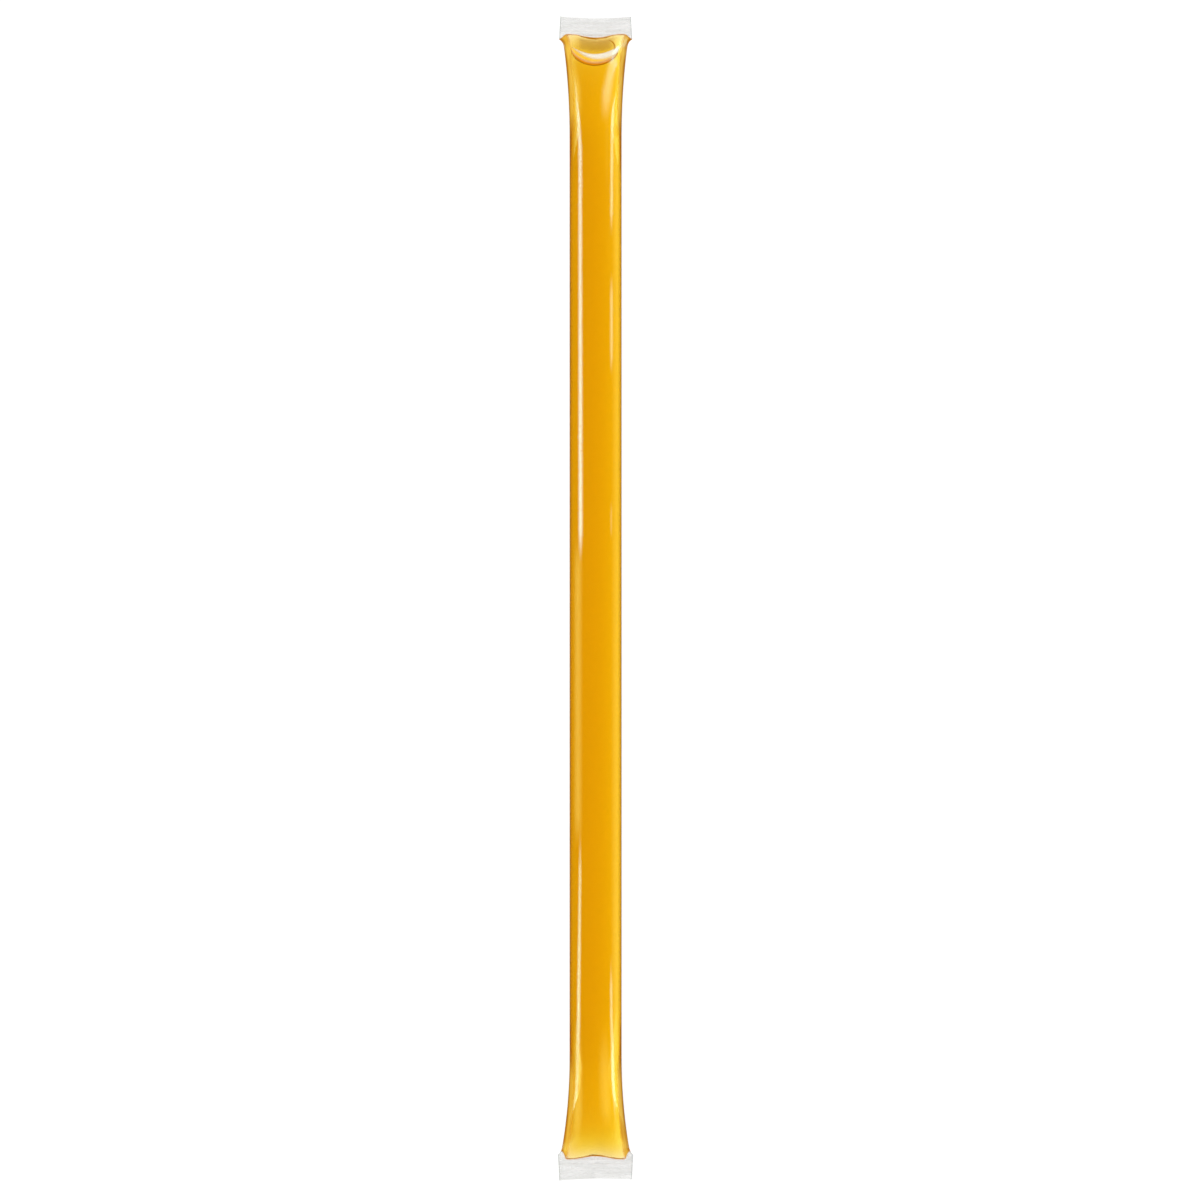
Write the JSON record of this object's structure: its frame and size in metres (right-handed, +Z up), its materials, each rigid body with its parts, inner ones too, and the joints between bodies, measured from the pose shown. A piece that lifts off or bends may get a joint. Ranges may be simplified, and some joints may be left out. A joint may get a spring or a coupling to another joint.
{
  "type": "honey stick",
  "caption": "Clear plastic straw filled with golden honey and pressed flat into a crimped seal at each end, lying on its side.",
  "frame": {"origin": "on the table, under the middle of the stick", "axes": "+Y along the stick to its top end, which holds the air bubble; +X across the seals; +Z up"},
  "size_m": [0.0096, 0.15, 0.0066],
  "materials": {
    "honey_in_film": "glossy, golden honey seen through a clear straw",
    "clear_film": "clear glossy plastic, whitish and ridged where it is welded",
    "honey": "clear golden honey"
  },
  "bodies": {
    "root": {"honey_stick": "honey_in_film"}
  },
  "joints": []
}
